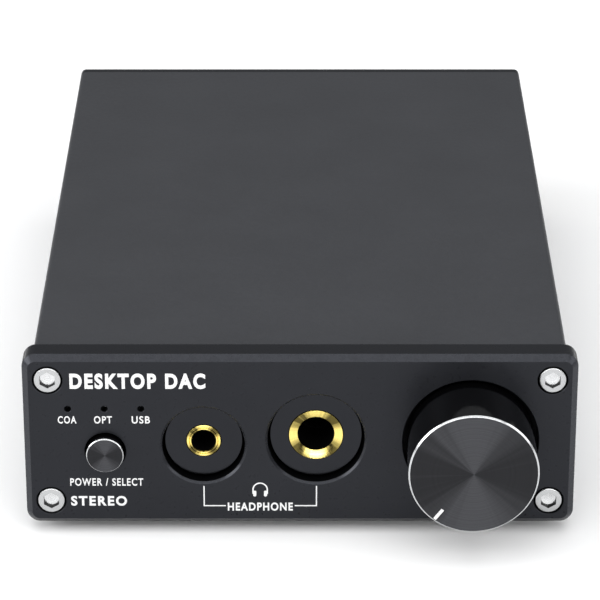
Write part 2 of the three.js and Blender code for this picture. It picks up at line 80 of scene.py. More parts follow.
# Rear plate: the phono sockets with the colours of their cores, and the radii of the round holes in mm.
PHONO_COLOURS = {"rca_right": "red_plastic", "rca_left": "white_plastic", "coaxial_in": "orange_plastic"}
PHONO_HOLE = 4.4
POWER_HOLE = 4.0

# Screws, in mm: the head's height, its edge rounding, the socket's width over flats and depth, and two looks:
# the head's, and the socket floor's, which on the front screws is a lighter copy of the steel, as painted
# light.
SCREWS = {
    "front": (3.0, 0.22, 2.75, 1.15, "steel", "painted_light_socket_floor"),
    "rear": (1.7, 0.6, 2.0, 1.1, "black_steel", "black_steel"),
}
THREAD = {"pitch": 0.5, "core": 1.2, "crest": 1.45}
DRILL_POINT = 0.5  # how far the pointed floor of a screw's socket goes past its walls

# Printed marks stand this far proud of a plate and reach this far into it, in mm.
INK_HEIGHT = 0.02
INK_ROOT = 0.03

# The directions out of a chip's sides.
X_SIDES = [(1, 0, 0), (-1, 0, 0)]
Y_SIDES = [(0, 1, 0), (0, -1, 0)]


# ---- Places from the frame ----

def centre(node):
    low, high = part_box(node)
    return (low + high) / 2


def front_centre(node):
    """The middle of a node's front side, which is where its turned shapes start."""
    middle = centre(node)
    return Vector((middle.x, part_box(node)[0].y, middle.z))


def bottom_centre(node):
    """The middle of a node's underside, for shapes that are turned about an upright axis."""
    middle = centre(node)
    return Vector((middle.x, middle.y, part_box(node)[0].z))


def box_mm(node):
    """A node's lowest and highest corners in mm."""
    low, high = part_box(node)
    return low / MM, high / MM


def size_mm(node):
    low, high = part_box(node)
    return (high - low) / MM


PANEL = front_centre("front_panel")
PANEL_SIZE = size_mm("front_panel")
BOARD_TOP = box_mm("main_board")[1].z


def on_panel(x, y, z):
    return PANEL + Vector((x, y, z)) * MM


def from_panel(point):
    """A point of the frame in the front plate's own millimetres."""
    return (point - PANEL) / MM


def box_from_panel(node):
    low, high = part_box(node)
    return from_panel(low), from_panel(high)


# ---- Mesh helpers; lengths are in mm, places in metres ----

def rounded_corner(before, corner, after, radius, steps):
    """The arc that rounds the corner between two straight stretches of an outline."""
    to_before = (before - corner).normalized()
    to_after = (after - corner).normalized()
    half_angle = to_before.angle(to_after) / 2
    middle = corner + (to_before + to_after).normalized() * radius / math.sin(half_angle)
    reach = radius / math.tan(half_angle)
    start = (corner + to_before * reach - middle).normalized()
    end = (corner + to_after * reach - middle).normalized()
    return [middle + start.slerp(end, step / steps) * radius for step in range(steps + 1)]


def rounded(outline, steps=EDGE_STEPS):
    """The outline's points as vectors. A corner given as (a, b, radius) is rounded to that radius."""
    corners = [Vector(point[:2]) for point in outline]
    points = []
    for i, (corner, point) in enumerate(zip(corners, outline)):
        if len(point) == 2:
            points.append(corner)
        else:
            after = corners[(i + 1) % len(corners)]
            points += rounded_corner(corners[i - 1], corner, after, point[2], steps)
    return points


def add_object(name, data, place=(0, 0, 0)):
    added = bpy.data.objects.new(name, data)
    added.location = place
    bpy.context.collection.objects.link(added)
    return added


def new_piece(name, bm, place=(0, 0, 0)):
    bmesh.ops.recalc_face_normals(bm, faces=bm.faces)
    mesh = bpy.data.meshes.new(name)
    bm.to_mesh(mesh)
    bm.free()
    return add_object(name, mesh, place)


def bridge(bm, rings, close):
    """Joins rings of the same length one to the next, and the last to the first if close is set."""
    followers = rings[1:] + rings[:1] if close else rings[1:]
    for ring, follower in zip(rings, followers):
        count = max(len(ring), len(follower))
        for i in range(count):
            j = (i + 1) % count
            around = [
                ring[i % len(ring)], ring[j % len(ring)],
                follower[j % len(follower)], follower[i % len(follower)],
            ]
            corners = list(dict.fromkeys(around))
            if len(corners) > 2:
                bm.faces.new(corners)


def lathe(name, outline, place, sides=TURN_SIDES, steps=EDGE_STEPS, along="Y"):
    """A closed solid of revolution. The outline holds (radius, distance along the axis) points in mm."""
    bm = bmesh.new()
    rings = []
    for radius, distance in rounded(outline, steps):
        if radius < 1e-6:
            directions = [(0.0, 0.0)]
        else:
            angles = [math.tau * i / sides for i in range(sides)]
            directions = [(radius * math.cos(a), radius * math.sin(a)) for a in angles]
        if along == "Y":
            points = [(u, distance, v) for u, v in directions]
        else:
            points = [(u, v, distance) for u, v in directions]
        rings.append([bm.verts.new(Vector(point) * MM) for point in points])
    bridge(bm, rings, close=len(rings[0]) > 1)
    return new_piece(name, bm, place)


def rectangle(width, height, corner, steps=10):
    """The (x, z) points of a rectangle with round corners, in mm."""
    points = []
    for quarter, (sx, sz) in enumerate([(1, 1), (-1, 1), (-1, -1), (1, -1)]):
        middle = Vector((sx * (width / 2 - corner), sz * (height / 2 - corner)))
        for step in range(steps + 1):
            angle = (quarter + step / steps) * math.pi / 2
            points.append(middle + Vector((math.cos(angle), math.sin(angle))) * corner)
    return points


def loft(name, sections, place, close=False):
    """Joins sections of (y, outline of (x, z) points). Its ends are capped unless it closes on itself."""
    bm = bmesh.new()
    rings = [[bm.verts.new(Vector((x, y, z)) * MM) for x, z in points] for y, points in sections]
    bridge(bm, rings, close)
    if not close:
        bm.faces.new(rings[0])
        bm.faces.new(rings[-1])
    return new_piece(name, bm, place)


def slab(name, width, height, corner, edge_outline, place):
    """A rounded rectangle whose edge follows an outline of (inset, y) points from its front to its back."""
    sections = [
        (y, rectangle(width - 2 * inset, height - 2 * inset, max(corner - inset, 0.05)))
        for inset, y in rounded([(99, edge_outline[0][1]), *edge_outline, (99, edge_outline[-1][1])])[1:-1]
    ]
    return loft(name, sections, place)


def block(name, low, high, bevel):
    """A box between two corners in mm, with its edges rounded. Its place is the frame's origin."""
    bm = bmesh.new()
    bmesh.ops.create_cube(bm, size=1)
    low, high = Vector(low), Vector(high)
    for vertex in bm.verts:
        share = vertex.co + Vector((0.5, 0.5, 0.5))
        vertex.co = Vector([a + (b - a) * t for a, b, t in zip(low, high, share)]) * MM
    if bevel:
        edges = list(bm.edges)
        bmesh.ops.bevel(bm, geom=edges, offset=bevel * MM, segments=2, profile=0.5, affect="EDGES")
    return new_piece(name, bm)


def cluster(name, boxes):
    """Many small boxes in one mesh, each given by its middle and its size in mm in the frame."""
    bm = bmesh.new()
    for middle, size in boxes:
        for vertex in bmesh.ops.create_cube(bm, size=1)["verts"]:
            vertex.co = (Vector(middle) + vertex.co * Vector(size)) * MM
    return new_piece(name, bm)


def prism(name, outline, front, back, place):
    """An (x, z) outline in mm, extruded from y = front back to y = back."""
    return loft(name, [(front, outline), (back, outline)], place)


def evaluated_mesh(thing):
    """The mesh that an object's modifiers or letters make."""
    graph = bpy.context.evaluated_depsgraph_get()
    return bpy.data.meshes.new_from_object(thing.evaluated_get(graph))


def combine(piece, tools, operation="DIFFERENCE"):
    """Cuts the tools out of the piece, or joins them to it, and removes them."""
    for tool in tools:
        modifier = piece.modifiers.new("combine", "BOOLEAN")
        modifier.object = tool
        modifier.operation = operation
        modifier.solver = "EXACT"
    made = evaluated_mesh(piece)
    made.name = piece.data.name
    piece.modifiers.clear()
    piece.data = made
    for tool in tools:
        bpy.data.objects.remove(tool)


def dress(piece, look_names, replaces=(), choose=None, body=CHASSIS):
    """Gives a finished mesh its looks, smooth shading and body. choose picks the look of each face."""
    mesh = piece.data
    mesh.materials.clear()
    for name in look_names:
        mesh.materials.append(looks[name])
    for face in mesh.polygons:
        face.material_index = choose(face) if choose else 0
        face.use_smooth = True
    mesh.set_sharp_from_angle(angle=SHARP_ANGLE)
    normals = piece.modifiers.new("weighted_normals", "WEIGHTED_NORMAL")
    normals.keep_sharp = True
    normals.weight = FLAT_FACE_WEIGHT
    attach(piece, body)
    if replaces:
        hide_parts(*replaces)


# ---- Materials ----

class Look:
    """One procedural material: a Principled shader and the nodes that feed it."""

    def __init__(self, name, **sockets):
        self.material = bpy.data.materials.new(name)
        self.material.use_nodes = True
        self.tree = self.material.node_tree
        self.shader = self.tree.nodes["Principled BSDF"]
        self.place = self.node("ShaderNodeTexCoord").outputs["Object"]
        self.height = None
        for socket, value in sockets.items():
            self.shader.inputs[socket.replace("_", " ")].default_value = value

    def node(self, kind, **settings):
        node = self.tree.nodes.new(kind)
        for setting, value in settings.items():
            setattr(node, setting, value)
        return node

    def link(self, source, target):
        self.tree.links.new(source, target)

    def feed(self, node, socket, value):
        """Sets a socket to a number or joins it to another node's output."""
        if isinstance(value, bpy.types.NodeSocket):
            self.link(value, node.inputs[socket])
        else:
            node.inputs[socket].default_value = value

    def math(self, operation, a, b=0.0):
        node = self.node("ShaderNodeMath", operation=operation)
        self.feed(node, 0, a)
        self.feed(node, 1, b)
        return node.outputs[0]

    def noise(self, per_mm, detail=3.0, stretch=(1, 1, 1)):
        """Noise with so many lumps to the millimetre. stretch makes it longer or shorter along an axis."""
        scaled = self.node("ShaderNodeMapping")
        self.feed(scaled, "Vector", self.place)
        scaled.inputs["Scale"].default_value = [per_mm / MM / s for s in stretch]
        noise = self.node("ShaderNodeTexNoise")
        self.feed(noise, "Vector", scaled.outputs[0])
        self.feed(noise, "Scale", 1.0)
        self.feed(noise, "Detail", detail)
        return noise.outputs[0]

    def across_axis(self):
        """The X and Z of a place, which are measured from the piece's Y axis."""
        apart = self.node("ShaderNodeSeparateXYZ")
        self.feed(apart, 0, self.place)
        return apart.outputs[0], apart.outputs[2]

    def noise_along(self, number, scale, detail):
        noise = self.node("ShaderNodeTexNoise", noise_dimensions="1D")
        for socket, value in (("W", number), ("Scale", scale), ("Detail", detail)):
            self.feed(noise, socket, value)
        return noise.outputs[0]

    def rings(self, per_mm):
        """Uneven concentric rings round the piece's Y axis, as a turning tool leaves them."""
        squares = [self.math("POWER", distance, 2.0) for distance in self.across_axis()]
        radius_mm = self.math("MULTIPLY", self.math("SQRT", self.math("ADD", *squares)), 1 / MM)
        return self.noise_along(self.math("MULTIPLY", radius_mm, per_mm), 1.0, 2.0)

    def painted_reflection_fans(self, count, turned):
        """Painted reflection: a share that runs light and dark in uneven sectors round the piece's Y axis,
        for painting highlights and shade into a colour. The first light one is turned from +X.
        """
        x, z = self.across_axis()
        angle = self.math("ARCTAN2", z, x)
        phase = self.math("MULTIPLY", self.math("SUBTRACT", angle, turned), count)
        wave = self.math("MULTIPLY", self.math("COSINE", phase), 0.25)
        uneven = self.math("MULTIPLY", self.noise_along(angle, 6.0, 1.0), 0.3)
        return self.math("ADD", self.math("ADD", uneven, 0.35), wave)

    def between(self, share, low, high):
        """A number from low to high, as share runs over the middle of a noise's range."""
        node = self.node("ShaderNodeMapRange")
        self.feed(node, "Value", share)
        for socket, value in (("From Min", 0.3), ("From Max", 0.7), ("To Min", low), ("To Max", high)):
            self.feed(node, socket, value)
        return node.outputs[0]

    def blend(self, share, first, second):
        node = self.node("ShaderNodeMix", data_type="RGBA")
        self.feed(node, "Factor", share)
        colours = [socket for socket in node.inputs if socket.type == "RGBA"]
        for socket, colour in zip(colours, (first, second)):
            if isinstance(colour, bpy.types.NodeSocket):
                self.link(colour, socket)
            else:
                socket.default_value = (*colour, 1.0)
        return next(output for output in node.outputs if output.type == "RGBA")

    def colour(self, value):
        self.feed(self.shader, "Base Color", value)

    def roughness(self, value):
        self.feed(self.shader, "Roughness", value)

    def bump(self, height, depth_mm):
        """Adds relief of so many millimetres to the shader's normal."""
        node = self.node("ShaderNodeBump")
        self.feed(node, "Height", height)
        self.feed(node, "Distance", depth_mm * MM)
        if self.height:
            self.link(self.height, node.inputs["Normal"])
        self.height = node.outputs[0]
        self.feed(self.shader, "Normal", self.height)


def shade(colour, factor):
    return tuple(channel * factor for channel in colour)


def anodised(name, colour, roughness, metallic=0.6, grain=0.004, **sockets):
    """Bead-blasted, dyed anodised aluminium: a fine grain, and faint clouds where the dye took unevenly."""
    look = Look(name, Metallic=metallic, **sockets)
    clouds = look.noise(0.06, detail=4.0)
    speckle = look.noise(6.0, detail=2.0)
    clouded = look.blend(look.between(clouds, 0, 1), shade(colour, 0.94), shade(colour, 1.06))
    look.colour(look.blend(look.between(speckle, 0, 0.35), clouded, shade(colour, 1.2)))
    look.roughness(look.between(look.noise(0.9), roughness - 0.04, roughness + 0.05))
    look.bump(speckle, grain)
    return look.material


def turned_metal(name, colour, roughness, anisotropy=0.0, groove=0.002, per_mm=6.0, painted_reflection_fans=None):
    """Metal faced on a lathe: concentric tool marks and, where asked for, painted reflections: light and dark
    sectors painted into the colour.

    painted_reflection_fans holds how many light sectors there are, how far the first is turned and how dark
    the painted shade gets between them.
    """
    look = Look(name, Metallic=1.0, Anisotropic=anisotropy, Anisotropic_Rotation=0.25)
    rings = look.rings(per_mm)
    rings_and_painted_reflection = look.blend(look.between(rings, 0, 1), shade(colour, 0.88), shade(colour, 1.12))
    if painted_reflection_fans:
        count, turned, dark = painted_reflection_fans
        # Painted reflection: the colour is darkened between the light sectors, as painted shade.
        rings_and_painted_reflection = look.blend(look.between(look.painted_reflection_fans(count, turned), 1, 0), rings_and_painted_reflection, shade(colour, dark))
    look.colour(rings_and_painted_reflection)
    look.roughness(look.between(look.rings(per_mm * 0.35), roughness - 0.04, roughness + 0.04))
    look.bump(rings, groove)
    if anisotropy:
        tangent = look.node("ShaderNodeTangent", direction_type="RADIAL", axis="Y")
        look.feed(look.shader, "Tangent", tangent.outputs[0])
    return look.material


def plated(name, colour, roughness):
    """Polished plating with a trace of handling haze and very fine scratches."""
    look = Look(name, Metallic=1.0)
    haze = look.noise(0.5, detail=5.0)
    scratches = look.noise(2.0, detail=3.0, stretch=(1, 14, 1))
    look.colour(look.blend(look.between(haze, 0, 1), shade(colour, 0.93), colour))
    look.roughness(look.between(haze, roughness * 0.75, roughness * 1.35))
    look.bump(scratches, 0.0008)
    return look.material


def moulded(name, colour, roughness, texture=0.006, per_mm=4.0, **sockets):
    """Moulded plastic with the fine spark-eroded texture of its tool."""
    look = Look(name, **sockets)
    grain = look.noise(per_mm, detail=3.0)
    flow = look.noise(0.12, detail=2.0, stretch=(1, 3, 1))
    look.colour(look.blend(look.between(flow, 0, 1), shade(colour, 0.92), shade(colour, 1.06)))
    look.roughness(look.between(grain, roughness - 0.05, roughness + 0.07))
    look.bump(grain, texture)
    return look.material


def printed_ink():
    """Screen-printed white ink: matt, a little thin in places."""
    look = Look("white_ink")
    cover = look.noise(5.0, detail=2.0)
    look.colour(look.blend(look.between(cover, 0, 1), (0.60, 0.60, 0.60), (0.70, 0.70, 0.70)))
    look.roughness(look.between(cover, 0.5, 0.65))
    look.bump(cover, 0.003)
    return look.material


def circuit_board():
    """Green solder mask over slightly raised, lighter copper tracks, with tinned pads."""
    look = Look("circuit_board", Metallic=0.0)

    def tracks(stretch):
        """Narrow bands along the contour lines of a noise that is stretched the tracks' way."""
        drift = look.math("MULTIPLY", look.noise(0.16, detail=0.0, stretch=stretch), 14.0)
        return look.math("LESS_THAN", look.math("PINGPONG", drift, 0.5), 0.11)

    region = look.math("GREATER_THAN", look.noise(0.045, detail=0.0), 0.5)
    copper = look.blend(region, tracks((1, 60, 60)), tracks((60, 1, 60)))
    cells = look.node("ShaderNodeTexVoronoi", feature="F1")
    look.feed(cells, "Vector", look.place)
    look.feed(cells, "Scale", 0.28 / MM)
    pads = look.math("LESS_THAN", cells.outputs["Distance"], 0.1)
    mask = look.blend(copper, (0.007, 0.058, 0.026), (0.012, 0.098, 0.042))
    look.colour(look.blend(pads, mask, (0.62, 0.61, 0.56)))
    look.roughness(look.between(look.noise(0.8), 0.3, 0.42))
    look.bump(copper, 0.03)
    look.bump(pads, 0.04)
    return look.material


PANEL_COLOUR = (0.0178, 0.0188, 0.0222)
looks = {
    "panel": anodised("panel_anodised", PANEL_COLOUR, 0.3, grain=0.0015, Specular_IOR_Level=0.2),
    "sleeve": anodised("sleeve_anodised", (0.056, 0.058, 0.064), 0.5),
    "bezel": anodised("bezel_anodised", (0.0245, 0.0255, 0.029), 0.17, metallic=1.0, grain=0.001),
    # Painted reflection on the knob's face: light sectors at top and bottom, darker painted shade at the
    # sides.
    "knob_face": turned_metal(
        "knob_face", (0.060, 0.061, 0.066), 0.44, anisotropy=0.95, painted_reflection_fans=(2, math.pi / 2, 0.5)
    ),
    "knob_side": anodised(
        "knob_side", (0.0012, 0.0012, 0.0014), 0.1, metallic=0.0, grain=0.0002, Specular_IOR_Level=0.28
    ),
    "cut_rim": turned_metal("cut_rim", (0.60, 0.61, 0.62), 0.24, groove=0.0005, per_mm=12.0),
    "steel": turned_metal("screw_steel", (0.47, 0.475, 0.48), 0.22, groove=0.001, per_mm=8.0),
    # Painted light: a lighter copy of the screw steel for the floor of the front screws' sockets.
    "painted_light_socket_floor": turned_metal("painted_light_floor_steel", (0.66, 0.665, 0.67), 0.26, groove=0.001, per_mm=8.0),
    # Painted shade: near-black, dull walls inside the steel screws' sockets.
    "painted_socket_shade": moulded("painted_socket_shade", (0.003, 0.003, 0.0033), 0.5, texture=0.001, Specular_IOR_Level=0.2),
    "black_steel": plated("black_oxide_steel", (0.035, 0.035, 0.037), 0.34),
    "nickel": plated("nickel_plate", (0.66, 0.65, 0.62), 0.2),
    "gold": turned_metal("gold_plate", (0.86, 0.68, 0.18), 0.11, groove=0.0005, per_mm=10.0),
    # Painted reflection on the gold rings: four light sectors, with deep painted shade on the diagonals.
    "gold_ring": turned_metal(
        "gold_ring", (0.98, 0.78, 0.23), 0.15, anisotropy=0.9, groove=0.0005, per_mm=10.0, painted_reflection_fans=(4, 0, 0.12)
    ),
    # Painted highlight: a lighter copy of the plate's anodising for its chamfers and the rims of its holes.
    "painted_edge_highlight": anodised("painted_edge_highlight", shade(PANEL_COLOUR, 1.6), 0.27, grain=0.001, Specular_IOR_Level=0.3),
    # Painted shade: a much darker copy of the plate's anodising, with almost no shine, for the walls deep in
    # its pockets.
    "pocket": anodised("painted_pocket_shade", shade(PANEL_COLOUR, 0.15), 0.4, Specular_IOR_Level=0.05),
    "rubber": moulded("rubber", (0.014, 0.014, 0.014), 0.8, texture=0.015, per_mm=3.0),
    "black_plastic": moulded("black_plastic", (0.012, 0.012, 0.013), 0.45),
    # Partly real, partly painted shade: near-black, almost unshiny plastic for the jack housings, darker than
    # their own black, and for the bores of the gold ferrules.
    "jack_plastic_and_bore_shade": moulded("black_plastic_and_painted_bore_shade", (0.0015, 0.0015, 0.0015), 0.5, Specular_IOR_Level=0.1),
    "white_plastic": moulded("white_plastic", (0.78, 0.78, 0.75), 0.38),
    "red_plastic": moulded("red_plastic", (0.5, 0.02, 0.015), 0.35),
    "orange_plastic": moulded("orange_plastic", (0.75, 0.2, 0.01), 0.35),
    "lens": moulded("led_lens", (0.5, 0.53, 0.56), 0.12, texture=0.001, Transmission_Weight=0.6),
    "ink": printed_ink(),
    "board": circuit_board(),
    "chip": moulded("chip_epoxy", (0.016, 0.016, 0.017), 0.55, texture=0.004, per_mm=8.0),
    "ceramic": moulded("chip_ceramic", (0.20, 0.13, 0.07), 0.4, texture=0.002, per_mm=8.0),
    "heat_sink": anodised("heat_sink_anodised", (0.02, 0.02, 0.022), 0.35),
    "can": moulded("capacitor_sleeve", (0.012, 0.03, 0.11), 0.22, texture=0.002),
}


# ---- Camera, light and floor ----

CAMERA_LENS = 193.66  # on a sensor 36 mm wide
CAMERA_PLACE = (0, -520.25, 267.46)  # on the front, in mm
CAMERA_DOWN = math.radians(24.705)


def make_camera():
    """A long lens above the front, looking down at the face."""
    data = bpy.data.cameras.new("camera")
    data.lens = CAMERA_LENS
    data.sensor_width = 36.0
    data.clip_end = 20.0
    camera = add_object("camera", data, on_panel(*CAMERA_PLACE))
    camera.rotation_euler.x = math.pi / 2 - CAMERA_DOWN
    bpy.context.scene.camera = camera


def make_light(name, place, target, size, watts):
    """A rectangular softbox aimed at a point."""
    data = bpy.data.lights.new(name, "AREA")
    data.shape = "RECTANGLE"
    data.size, data.size_y = size
    data.energy = watts
    light = add_object(name, data, place)
    light.rotation_euler = (Vector(target) - Vector(place)).to_track_quat("-Z", "Y").to_euler()


def make_studio():
    make_light("softbox_top", (0, 0.03, 1.1), (0, 0, 0), (1.6, 1.2), 9.5)
    make_light("softbox_left", (-1.05, -0.3, 0.5), (0, 0, 0.02), (0.7, 0.7), 8)
    make_light("softbox_right", (1.05, -0.3, 0.5), (0, 0, 0.02), (0.7, 0.7), 3.5)
    make_light("softbox_front", (0, -0.9, 0.95), (0, 0, 0), (2.0, 0.55), 9)
    make_light("strip_front", (0, -1.3, 0.34), (0, 0, 0.02), (1.8, 0.3), 9)

    world = bpy.data.worlds.new("studio")
    world.use_nodes = True
    background = world.node_tree.nodes["Background"]
    background.inputs["Color"].default_value = (0.95, 0.97, 1.0, 1.0)
    background.inputs["Strength"].default_value = 0.26
    bpy.context.scene.world = world
    bpy.context.scene.view_settings.view_transform = "Standard"

    bm = bmesh.new()
    bmesh.ops.create_grid(bm, x_segments=1, y_segments=1, size=4)
    floor = new_piece("floor", bm)
    floor_look = Look("floor_paper", Roughness=0.9)
    floor_look.colour(floor_look.blend(floor_look.noise(0.01), (0.88, 0.88, 0.88), (0.9, 0.9, 0.9)))
    floor.data.materials.append(floor_look.material)


# ---- Enclosure ----

def screw_places(side):
    return [from_panel(centre(f"{side}_screw_{i}")) for i in (1, 2, 3, 4)]


def rod(spot, radius, front, back, sides=48):
    """A round bar along Y: a boss, or the cutter for a hole."""
    outline = [(0, front), (radius, front), (radius, back), (0, back)]
    return lathe("rod", outline, on_panel(spot.x, 0, spot.z), sides)


def front_hole(node, rim, radius, depth, bore, sides, rounding=0):
    """A cutter for a stepped hole over a node, whose rim has a small chamfer that may be rounded."""
    spot = from_panel(centre(node))
    rim_corner = (radius, rim, rounding) if rounding else (radius, rim)
    before, through = -1, PANEL_SIZE.y + 1
    outline = [
        (0, before), (radius + rim - before, before), rim_corner,
        (radius, depth), (bore, depth), (bore, through), (0, through),
    ]
    return lathe("tool", outline, on_panel(spot.x, 0, spot.z), sides)


def make_front_plate():
    thickness = PANEL_SIZE.y
    plate = slab(
        "front_plate", PANEL_SIZE.x, PANEL_SIZE.z, PANEL_CORNER,
        [(PANEL_CHAMFER, 0, 0.05), (0, PANEL_CHAMFER, 0.05), (0, thickness, 0.15)], PANEL,
    )
    tools = [front_hole(f"front_screw_{i}", 0.1, **SCREW_RECESS, sides=64) for i in (1, 2, 3, 4)]
    for jack, radius in JACK_POCKETS.items():
        ferrule = f"{jack}_ferrule"
        bore = size_mm(ferrule).x / 2 + 0.1
        tools.append(front_hole(ferrule, 0.4, radius, JACK_POCKET_DEPTH, bore, sides=128, rounding=0.2))
    tools.append(front_hole("volume_knob", 0.15, **KNOB_POCKET, sides=160))
    tools.append(front_hole("select_button", 0.12, **BUTTON_HOLE, sides=TURN_SIDES))
    tools += [front_hole(led, 0.1, **LED_HOLE, sides=32) for led in LEDS]
    combine(plate, tools)

    half_width, half_height = PANEL_SIZE.x / 2, PANEL_SIZE.z / 2

    def surface(face):
        """The plate's own look; painted highlight, a lighter copy of it, on the upper and side sloping edges;
        or painted shade, a much darker copy, on the walls deep inside the pockets.
        """
        x, y, z = face.center / MM
        inside = abs(x) < half_width - 0.05 and abs(z) < half_height - PANEL_CHAMFER
        # Painted shade: the pockets' walls from 0.6 mm deep take a much darker copy of the plate's look.
        if inside and 0.6 < y < JACK_POCKET_DEPTH + 0.01:
            return 2
        # Painted highlight: sloping faces, apart from the bottom chamfer, take a lighter copy of the plate's
        # look.
        sloping = 0.3 < -face.normal.y < 0.95 and y > 0.12
        return 1 if sloping and z > PANEL_CHAMFER - half_height else 0

    dress(plate, ["panel", "painted_edge_highlight", "pocket"], ["front_panel"], surface)


def make_sleeve():
    size = size_mm("case_sleeve")
    front, back = (corner.y for corner in box_from_panel("case_sleeve"))
    outer = rectangle(size.x, size.z, SLEEVE_CORNER)
    inner = rectangle(size.x - 2 * SLEEVE_WALL, size.z - 2 * SLEEVE_WALL, 0.4)
    tube = loft("sleeve", [(front, outer), (back, outer), (back, inner), (front, inner)], PANEL, close=True)
    spots = screw_places("front")
    bosses = [rod(spot, BOSS_RADIUS, front, back) for spot in spots]
    board_low, board_high = box_from_panel("main_board")
    inner_end, rib_thickness, play = GROOVE_RIB.values()
    ribs = []
    for side in (-1, 1):
        for z in (board_low.z - play - rib_thickness, board_high.z + play):
            ends = sorted((side * inner_end, side * (size.x / 2 - SLEEVE_WALL / 2)))
            rib = block("rib", (ends[0], front, z), (ends[1], back, z + rib_thickness), bevel=0)
            rib.location = PANEL
            ribs.append(rib)
    combine(tube, bosses + ribs, "UNION")
    combine(tube, [rod(spot, BOSS_HOLE, front - 1, back + 1, 32) for spot in spots])
    dress(tube, ["sleeve"], ["case_sleeve"])


def screw_outline(radius, head, edge, length):
    """A cap screw from its face to its tip, with the thread's ridges."""
    pitch, core, crest = THREAD.values()
    ridges = []
    for turn in range(int(length / pitch) - 1):
        y = head + 0.6 + turn * pitch
        ridges += [(core, y), (crest, y + 0.2), (crest, y + 0.25), (core, y + 0.45)]
    end = head + length
    tip = [(core, end - 0.3), (core - 0.3, end), (0, end)]
    return [(0, 0), (radius, 0, edge), (radius, head, 0.08), (core, head), *ridges, *tip]


def make_screw(side, number):
    """A socket cap screw. The rear ones are turned round, so that they point into the case too."""
    head, edge, flats, deep, look, floor = SCREWS[side]
    node = f"{side}_screw_{number}"
    size = size_mm(node)
    place = front_centre(node)
    screw = lathe(f"{side}_bolt_{number}", screw_outline(size.x / 2, head, edge, size.y - head), place, 48)
    socket_corner = flats / math.sqrt(3)
    angles = [math.tau * (i + 0.5) / 6 for i in range(6)]
    hexagon = [(socket_corner * math.cos(a), socket_corner * math.sin(a)) for a in angles]
    start = 0.5
    point = [(0, start), (flats / 2, start), (flats / 2, deep), (0, deep + DRILL_POINT)]
    combine(screw, [prism("tool", hexagon, -1, deep, place), lathe("tool", point, place, 6)])
    if side == "rear":
        screw.location.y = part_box(node)[1].y
        screw.rotation_euler.z = math.pi

    def surface(face):
        """The screw's own look, painted shade on its socket's walls, or the socket floor's look, which on the
        front screws is painted light.
        """
        x, y, z = face.center / MM
        if not 0.01 < y < deep + DRILL_POINT or math.hypot(x, z) > socket_corner:
            return 0
        return 1 if abs(face.normal.y) < 0.5 else 2

    dress(screw, [look, "painted_socket_shade", floor], [node], surface)


def make_rear_plate():
    low, high = box_from_panel("rear_panel")
    thickness = high.y - low.y
    edge = [(0, 0, 0.12), (0, thickness, 0.3)]
    place = on_panel(0, low.y, 0)
    plate = slab("rear_plate", high.x - low.x, high.z - low.z, SLEEVE_CORNER, edge, place)
    before, behind = low.y - 1, high.y + 1
    tools = [rod(spot, SCREW_CLEARANCE, before, behind) for spot in screw_places("rear")]
    round_holes = {f"{phono}_shell": PHONO_HOLE for phono in PHONO_COLOURS} | {"dc_jack_pin": POWER_HOLE}
    for node, radius in round_holes.items():
        tools.append(rod(from_panel(centre(node)), radius, before, behind, TURN_SIDES))
    play = Vector((0.1, 0, 0.1))
    for housing in ("optical_in_housing", "usb_shell"):
        box_low, box_high = box_from_panel(housing)
        box_low.y, box_high.y = before, behind
        tool = block("tool", box_low - play, box_high + play, bevel=0)
        tool.location = PANEL
        tools.append(tool)
    combine(plate, tools)
    dress(plate, ["panel"], ["rear_panel"])


def make_feet():
    for i in (1, 2, 3, 4):
        node = f"rubber_foot_{i}"
        size = size_mm(node)
        radius, hollow = size.x / 2, 0.25
        outline = [
            (0, hollow), (radius - 2.2, hollow, 0.2), (radius - 1.9, 0, 0.15), (radius - 0.9, 0, 0.4),
            (radius - 0.2, 1.0, 0.3), (radius, size.z, 0.1), (0, size.z),
        ]
        foot = lathe(f"foot_{i}", outline, bottom_centre(node), 72, along="Z")
        dress(foot, ["rubber"], [node])


# ---- Front controls ----

def dress_turned_cap(piece, body, node, radius, chamfer, face_depth):
    """Gives a knob or button its face, the bright rim cut round it, and its side."""
    def surface(face):
        x, y, z = face.center / MM
        out = math.hypot(x, z)
        if y < face_depth and out < radius - chamfer:
            return 0
        return 1 if y < chamfer + 0.01 and out > radius - chamfer - 0.02 else 2

    dress(piece, ["knob_face", "cut_rim", "knob_side"], [node], surface, body)


